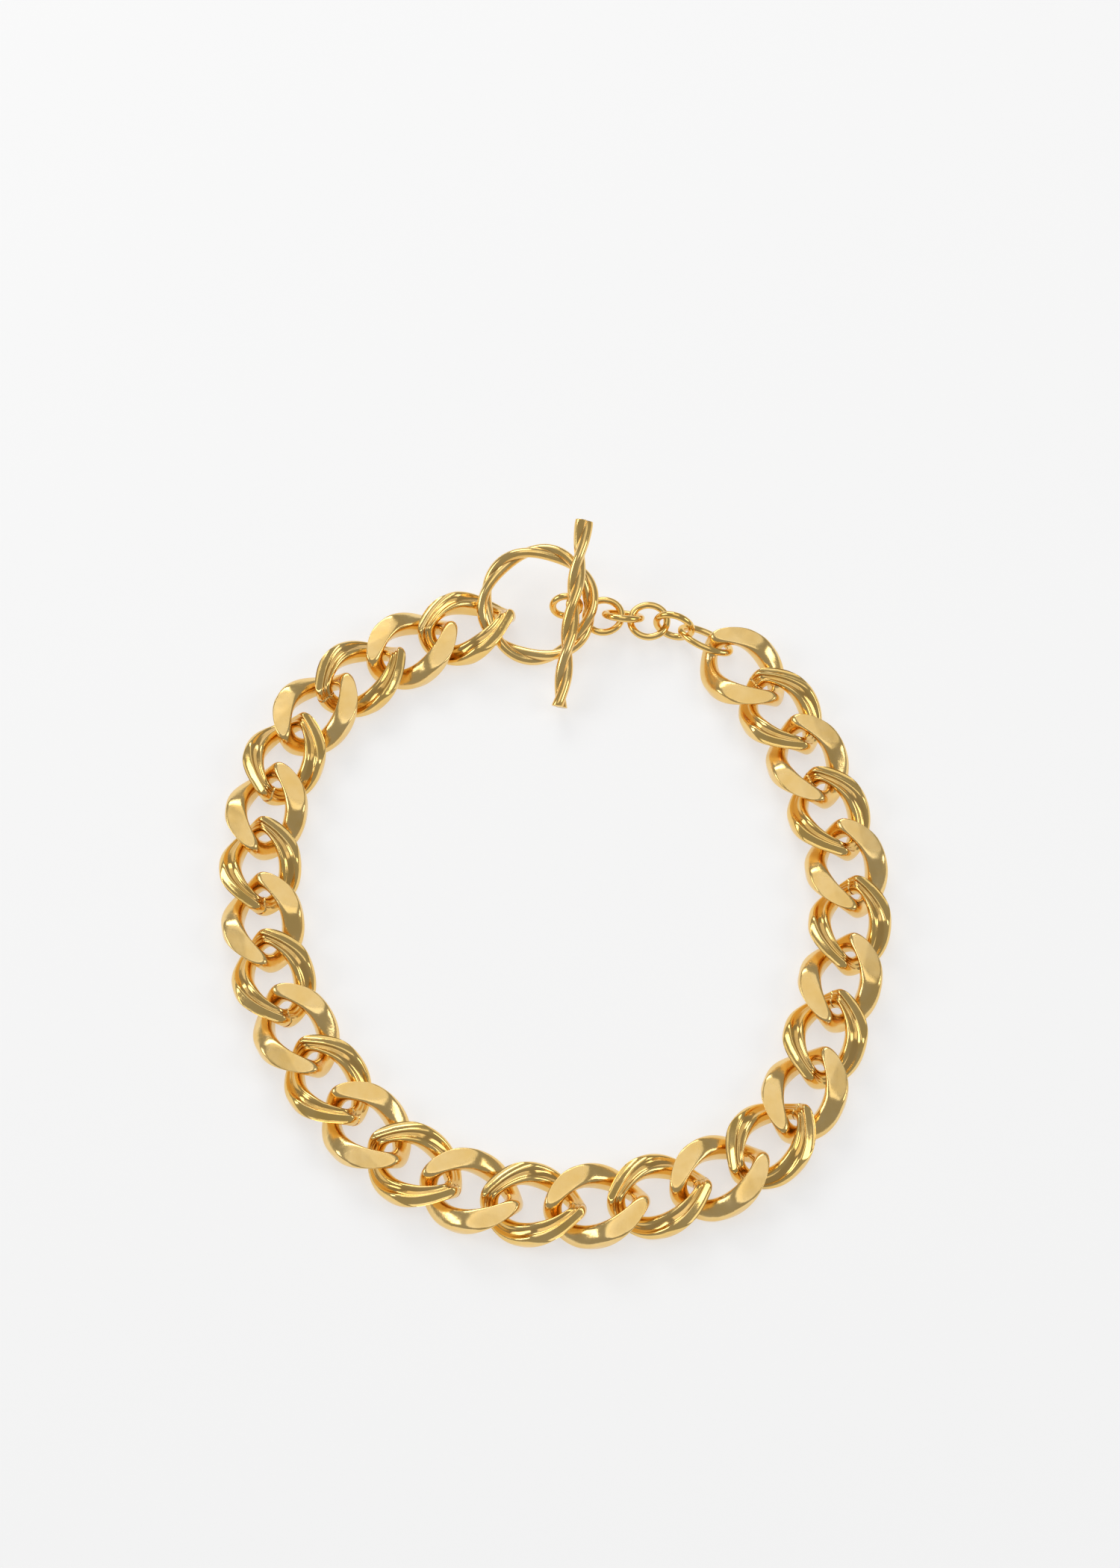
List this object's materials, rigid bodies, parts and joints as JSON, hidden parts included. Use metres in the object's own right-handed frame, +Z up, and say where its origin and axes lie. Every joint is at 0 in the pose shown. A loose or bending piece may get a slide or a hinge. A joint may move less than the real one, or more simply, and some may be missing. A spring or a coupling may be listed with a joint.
{
  "type": "chain necklace",
  "caption": "Curb chain necklace of alternating ribbed and plain filed links, closed in front with a twisted ring and bar toggle clasp on a short run of round links.",
  "frame": {"origin": "under the middle of the whole necklace, on the surface that it lies on", "axes": "+Z up from the surface, +Y along the long way of the closed loop towards the clasp, +X across it"},
  "size_m": [0.1478, 0.1668, 0.0176],
  "materials": {
    "ribbed_gold": "polished gold plate over cast ribs",
    "filed_gold": "gold plate, broad faces filed and brushed, edges polished",
    "twisted_gold": "polished gold plate on twisted wire",
    "wire_gold": "bright gold plate on round wire"
  },
  "bodies": {
    "ribbed_link_01": {"ribbed_link_01": "ribbed_gold"},
    "smooth_link_01": {"smooth_link_01": "filed_gold"},
    "ribbed_link_02": {"ribbed_link_02": "ribbed_gold"},
    "smooth_link_02": {"smooth_link_02": "filed_gold"},
    "ribbed_link_03": {"ribbed_link_03": "ribbed_gold"},
    "smooth_link_03": {"smooth_link_03": "filed_gold"},
    "ribbed_link_04": {"ribbed_link_04": "ribbed_gold"},
    "smooth_link_04": {"smooth_link_04": "filed_gold"},
    "ribbed_link_05": {"ribbed_link_05": "ribbed_gold"},
    "smooth_link_05": {"smooth_link_05": "filed_gold"},
    "ribbed_link_06": {"ribbed_link_06": "ribbed_gold"},
    "smooth_link_06": {"smooth_link_06": "filed_gold"},
    "ribbed_link_07": {"ribbed_link_07": "ribbed_gold"},
    "smooth_link_07": {"smooth_link_07": "filed_gold"},
    "ribbed_link_08": {"ribbed_link_08": "ribbed_gold"},
    "smooth_link_08": {"smooth_link_08": "filed_gold"},
    "ribbed_link_09": {"ribbed_link_09": "ribbed_gold"},
    "smooth_link_09": {"smooth_link_09": "filed_gold"},
    "ribbed_link_10": {"ribbed_link_10": "ribbed_gold"},
    "smooth_link_10": {"smooth_link_10": "filed_gold"},
    "ribbed_link_11": {"ribbed_link_11": "ribbed_gold"},
    "smooth_link_11": {"smooth_link_11": "filed_gold"},
    "ribbed_link_12": {"ribbed_link_12": "ribbed_gold"},
    "smooth_link_12": {"smooth_link_12": "filed_gold"},
    "ribbed_link_13": {"ribbed_link_13": "ribbed_gold"},
    "smooth_link_13": {"smooth_link_13": "filed_gold"},
    "ribbed_link_14": {"ribbed_link_14": "ribbed_gold"},
    "smooth_link_14": {"smooth_link_14": "filed_gold"},
    "connector_link": {"connector_link": "wire_gold"},
    "plain_link_4": {"plain_link_4": "wire_gold"},
    "plain_link_3": {"plain_link_3": "wire_gold"},
    "plain_link_2": {"plain_link_2": "wire_gold"},
    "plain_link_1": {"plain_link_1": "wire_gold"},
    "bar": {"toggle_bar": "twisted_gold", "bar_loop": "wire_gold"},
    "ring": {"toggle_ring": "twisted_gold"}
  },
  "joints": [
    {"name": "ribbed_link_01_to_smooth_link_01", "type": "hinge", "parent": "smooth_link_01", "child": "ribbed_link_01", "pos_m": [-0.02603, 0.05975, 0.00349], "axis": [0, 0, 1], "range_deg": [-4.3, 4.3]},
    {"name": "smooth_link_01_to_ribbed_link_02", "type": "hinge", "parent": "ribbed_link_02", "child": "smooth_link_01", "pos_m": [-0.03799, 0.05374, 0.0032], "axis": [0, 0, 1], "range_deg": [-10, 10]},
    {"name": "ribbed_link_02_to_smooth_link_02", "type": "hinge", "parent": "smooth_link_02", "child": "ribbed_link_02", "pos_m": [-0.04869, 0.04575, 0.0032], "axis": [0, 0, 1], "range_deg": [-9.5, 9.5]},
    {"name": "smooth_link_02_to_ribbed_link_03", "type": "hinge", "parent": "ribbed_link_03", "child": "smooth_link_02", "pos_m": [-0.05698, 0.03551, 0.0032], "axis": [0, 0, 1], "range_deg": [-3.3, 3.3]},
    {"name": "ribbed_link_03_to_smooth_link_03", "type": "hinge", "parent": "smooth_link_03", "child": "ribbed_link_03", "pos_m": [-0.06211, 0.02327, 0.0032], "axis": [0, 0, 1], "range_deg": [-3.5, 3.5]},
    {"name": "smooth_link_03_to_ribbed_link_04", "type": "hinge", "parent": "ribbed_link_04", "child": "smooth_link_03", "pos_m": [-0.06437, 0.0101, 0.0032], "axis": [0, 0, 1], "range_deg": [-9.9, 9.9]},
    {"name": "ribbed_link_04_to_smooth_link_04", "type": "hinge", "parent": "smooth_link_04", "child": "ribbed_link_04", "pos_m": [-0.06431, -0.00332, 0.0032], "axis": [0, 0, 1], "range_deg": [-10, 10]},
    {"name": "smooth_link_04_to_ribbed_link_05", "type": "hinge", "parent": "ribbed_link_05", "child": "smooth_link_04", "pos_m": [-0.06239, -0.01662, 0.0032], "axis": [0, 0, 1], "range_deg": [-4.2, 4.2]},
    {"name": "ribbed_link_05_to_smooth_link_05", "type": "hinge", "parent": "smooth_link_05", "child": "ribbed_link_05", "pos_m": [-0.05837, -0.02938, 0.0032], "axis": [0, 0, 1], "range_deg": [-4.1, 4.1]},
    {"name": "smooth_link_05_to_ribbed_link_06", "type": "hinge", "parent": "ribbed_link_06", "child": "smooth_link_05", "pos_m": [-0.05217, -0.04128, 0.0032], "axis": [0, 0, 1], "range_deg": [-10, 10]},
    {"name": "ribbed_link_06_to_smooth_link_06", "type": "hinge", "parent": "smooth_link_06", "child": "ribbed_link_06", "pos_m": [-0.04432, -0.05219, 0.0032], "axis": [0, 0, 1], "range_deg": [-10.2, 10.2]},
    {"name": "smooth_link_06_to_ribbed_link_07", "type": "hinge", "parent": "ribbed_link_07", "child": "smooth_link_06", "pos_m": [-0.03483, -0.06159, 0.0032], "axis": [0, 0, 1], "range_deg": [-3.7, 3.7]},
    {"name": "ribbed_link_07_to_smooth_link_07", "type": "hinge", "parent": "ribbed_link_07", "child": "smooth_link_07", "pos_m": [-0.02354, -0.06859, 0.0032], "axis": [0, 0, 1], "range_deg": [-3.8, 3.8]},
    {"name": "smooth_link_07_to_ribbed_link_08", "type": "hinge", "parent": "smooth_link_07", "child": "ribbed_link_08", "pos_m": [-0.01087, -0.07276, 0.0032], "axis": [0, 0, 1], "range_deg": [-10.3, 10.3]},
    {"name": "ribbed_link_08_to_smooth_link_08", "type": "hinge", "parent": "ribbed_link_08", "child": "smooth_link_08", "pos_m": [0.00242, -0.07422, 0.0032], "axis": [0, 0, 1], "range_deg": [-10, 10]},
    {"name": "smooth_link_08_to_ribbed_link_09", "type": "hinge", "parent": "smooth_link_08", "child": "ribbed_link_09", "pos_m": [0.01577, -0.07316, 0.0032], "axis": [0, 0, 1], "range_deg": [-4.1, 4.1]},
    {"name": "ribbed_link_09_to_smooth_link_09", "type": "hinge", "parent": "ribbed_link_09", "child": "smooth_link_09", "pos_m": [0.02878, -0.06992, 0.0032], "axis": [0, 0, 1], "range_deg": [-3.6, 3.6]},
    {"name": "smooth_link_09_to_ribbed_link_10", "type": "hinge", "parent": "smooth_link_09", "child": "ribbed_link_10", "pos_m": [0.04063, -0.06403, 0.0032], "axis": [0, 0, 1], "range_deg": [-9.4, 9.4]},
    {"name": "ribbed_link_10_to_smooth_link_10", "type": "hinge", "parent": "ribbed_link_10", "child": "smooth_link_10", "pos_m": [0.04991, -0.05482, 0.0032], "axis": [0, 0, 1], "range_deg": [-9, 9]},
    {"name": "smooth_link_10_to_ribbed_link_11", "type": "hinge", "parent": "smooth_link_10", "child": "ribbed_link_11", "pos_m": [0.05613, -0.04309, 0.0032], "axis": [0, 0, 1], "range_deg": [-3.7, 3.7]},
    {"name": "ribbed_link_11_to_smooth_link_11", "type": "hinge", "parent": "ribbed_link_11", "child": "smooth_link_11", "pos_m": [0.06041, -0.03032, 0.0032], "axis": [0, 0, 1], "range_deg": [-4.4, 4.4]},
    {"name": "smooth_link_11_to_ribbed_link_12", "type": "hinge", "parent": "smooth_link_11", "child": "ribbed_link_12", "pos_m": [0.06355, -0.01722, 0.0032], "axis": [0, 0, 1], "range_deg": [-10, 10]},
    {"name": "ribbed_link_12_to_smooth_link_12", "type": "hinge", "parent": "ribbed_link_12", "child": "smooth_link_12", "pos_m": [0.06472, -0.00393, 0.0032], "axis": [0, 0, 1], "range_deg": [-9.4, 9.4]},
    {"name": "smooth_link_12_to_ribbed_link_13", "type": "hinge", "parent": "smooth_link_12", "child": "ribbed_link_13", "pos_m": [0.06292, 0.00926, 0.0032], "axis": [0, 0, 1], "range_deg": [-3.1, 3.1]},
    {"name": "ribbed_link_13_to_smooth_link_13", "type": "hinge", "parent": "ribbed_link_13", "child": "smooth_link_13", "pos_m": [0.05904, 0.02215, 0.0032], "axis": [0, 0, 1], "range_deg": [-4.1, 4.1]},
    {"name": "smooth_link_13_to_ribbed_link_14", "type": "hinge", "parent": "smooth_link_13", "child": "ribbed_link_14", "pos_m": [0.05401, 0.0346, 0.0032], "axis": [0, 0, 1], "range_deg": [-10, 10]},
    {"name": "ribbed_link_14_to_smooth_link_14", "type": "hinge", "parent": "ribbed_link_14", "child": "smooth_link_14", "pos_m": [0.04705, 0.04596, 0.0032], "axis": [0, 0, 1], "range_deg": [-10.5, 10.5]},
    {"name": "smooth_link_14_to_connector_link", "type": "hinge", "parent": "smooth_link_14", "child": "connector_link", "pos_m": [0.03872, 0.05515, 0.00325], "axis": [0, 0, 1], "range_deg": [-4, 4]},
    {"name": "connector_link_to_plain_link_4", "type": "hinge", "parent": "connector_link", "child": "plain_link_4", "pos_m": [0.03094, 0.0605, 0.00403], "axis": [0, 0, 1], "range_deg": [-2.1, 2.1]},
    {"name": "plain_link_4_to_plain_link_3", "type": "hinge", "parent": "plain_link_4", "child": "plain_link_3", "pos_m": [0.02449, 0.06277, 0.00434], "axis": [0, 0, 1], "range_deg": [-6.7, 6.7]},
    {"name": "plain_link_3_to_plain_link_2", "type": "hinge", "parent": "plain_link_3", "child": "plain_link_2", "pos_m": [0.01869, 0.06417, 0.00405], "axis": [0, 0, 1], "range_deg": [-8, 8]},
    {"name": "plain_link_2_to_plain_link_1", "type": "hinge", "parent": "plain_link_2", "child": "plain_link_1", "pos_m": [0.01354, 0.0651, 0.00344], "axis": [0, 0, 1], "range_deg": [-4, 4]},
    {"name": "bar_swing", "type": "hinge", "parent": "plain_link_1", "child": "bar", "pos_m": [0.00732, 0.06565, 0.005], "axis": [0, 0, 1], "range_deg": [-6, 4]},
    {"name": "ring_swing", "type": "hinge", "parent": "ribbed_link_01", "child": "ring", "pos_m": [-0.0162, 0.064, 0.005], "axis": [0, 0, 1], "range_deg": [-4, 1.5]}
  ],
  "couplings": [
    {"joint": "ribbed_link_01_to_smooth_link_01", "follows": "smooth_link_01_to_ribbed_link_02", "ratio": -0.3746},
    {"joint": "ribbed_link_02_to_smooth_link_02", "follows": "smooth_link_01_to_ribbed_link_02", "ratio": -0.8932},
    {"joint": "smooth_link_02_to_ribbed_link_03", "follows": "smooth_link_01_to_ribbed_link_02", "ratio": 0.2678},
    {"joint": "ribbed_link_03_to_smooth_link_03", "follows": "ribbed_link_04_to_smooth_link_04", "ratio": 0.289},
    {"joint": "smooth_link_03_to_ribbed_link_04", "follows": "ribbed_link_04_to_smooth_link_04", "ratio": -0.9293},
    {"joint": "smooth_link_04_to_ribbed_link_05", "follows": "ribbed_link_04_to_smooth_link_04", "ratio": -0.3597},
    {"joint": "ribbed_link_05_to_smooth_link_05", "follows": "smooth_link_05_to_ribbed_link_06", "ratio": -0.3518},
    {"joint": "ribbed_link_06_to_smooth_link_06", "follows": "smooth_link_05_to_ribbed_link_06", "ratio": -0.9551},
    {"joint": "smooth_link_06_to_ribbed_link_07", "follows": "smooth_link_05_to_ribbed_link_06", "ratio": 0.3068},
    {"joint": "ribbed_link_07_to_smooth_link_07", "follows": "ribbed_link_08_to_smooth_link_08", "ratio": 0.3153},
    {"joint": "smooth_link_07_to_ribbed_link_08", "follows": "ribbed_link_08_to_smooth_link_08", "ratio": -0.9666},
    {"joint": "smooth_link_08_to_ribbed_link_09", "follows": "ribbed_link_08_to_smooth_link_08", "ratio": -0.3488},
    {"joint": "ribbed_link_09_to_smooth_link_09", "follows": "ribbed_link_10_to_smooth_link_10", "ratio": 0.3296},
    {"joint": "smooth_link_09_to_ribbed_link_10", "follows": "ribbed_link_10_to_smooth_link_10", "ratio": -0.9826},
    {"joint": "smooth_link_10_to_ribbed_link_11", "follows": "ribbed_link_10_to_smooth_link_10", "ratio": -0.3469},
    {"joint": "ribbed_link_11_to_smooth_link_11", "follows": "smooth_link_11_to_ribbed_link_12", "ratio": -0.3768},
    {"joint": "ribbed_link_12_to_smooth_link_12", "follows": "smooth_link_11_to_ribbed_link_12", "ratio": -0.8772},
    {"joint": "smooth_link_12_to_ribbed_link_13", "follows": "smooth_link_11_to_ribbed_link_12", "ratio": 0.254},
    {"joint": "ribbed_link_13_to_smooth_link_13", "follows": "smooth_link_13_to_ribbed_link_14", "ratio": -0.3477},
    {"joint": "ribbed_link_14_to_smooth_link_14", "follows": "smooth_link_13_to_ribbed_link_14", "ratio": -0.9876},
    {"joint": "smooth_link_14_to_connector_link", "follows": "smooth_link_13_to_ribbed_link_14", "ratio": 0.3354},
    {"joint": "connector_link_to_plain_link_4", "follows": "plain_link_3_to_plain_link_2", "ratio": 0.1861},
    {"joint": "plain_link_4_to_plain_link_3", "follows": "plain_link_3_to_plain_link_2", "ratio": -0.766},
    {"joint": "plain_link_2_to_plain_link_1", "follows": "plain_link_3_to_plain_link_2", "ratio": -0.4201}
  ]
}
